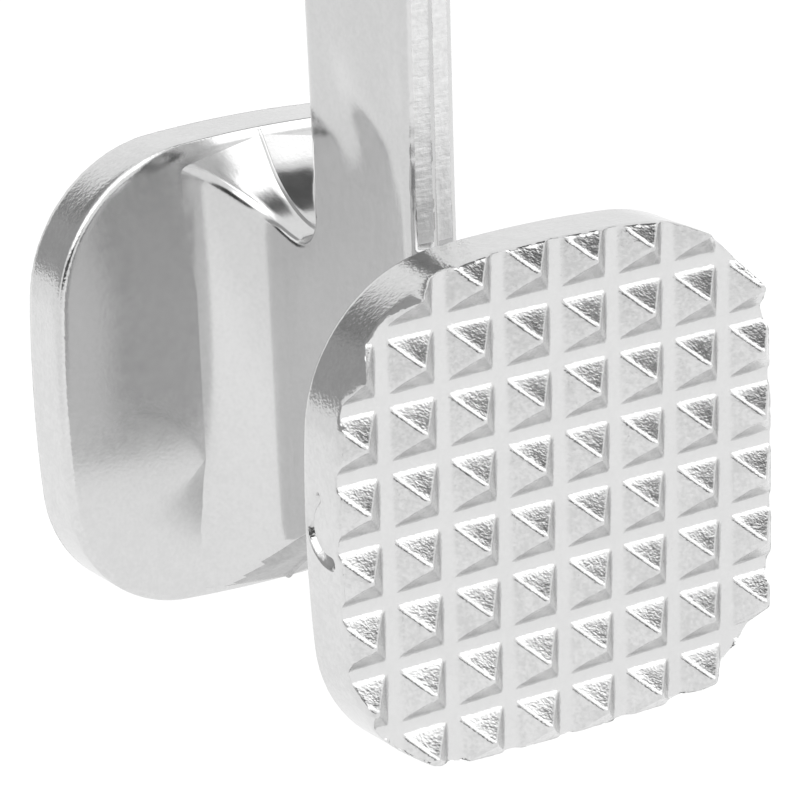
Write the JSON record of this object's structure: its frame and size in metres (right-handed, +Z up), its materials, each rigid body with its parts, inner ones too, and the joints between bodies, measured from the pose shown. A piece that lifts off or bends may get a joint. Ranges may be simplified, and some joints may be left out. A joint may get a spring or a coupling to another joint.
{
  "type": "meat mallet",
  "caption": "Two-sided cast aluminium kitchen mallet: a coarse-toothed and a fine-toothed square face joined by a waisted web, on a flat bar handle with a hanging eye.",
  "frame": {"origin": "on the ground under the middle of the head, midway between the two faces' lowest edges and under the overall bounding box", "axes": "+Z up along the handle, +X along the head towards the coarse face, Y across the head"},
  "size_m": [0.0685, 0.054, 0.24],
  "materials": {
    "toothed_casting": "bright tumbled die casting, fine grain on rims and tooth flanks",
    "smooth_casting": "bright as-cast skin, soft reflections, ground parting line on the edges"
  },
  "bodies": {
    "root": {"coarse_face_plate": "toothed_casting", "fine_face_plate": "toothed_casting", "head_web": "smooth_casting", "handle_shank": "smooth_casting", "handle_grip": "smooth_casting", "hanging_eye": "smooth_casting"}
  },
  "joints": []
}
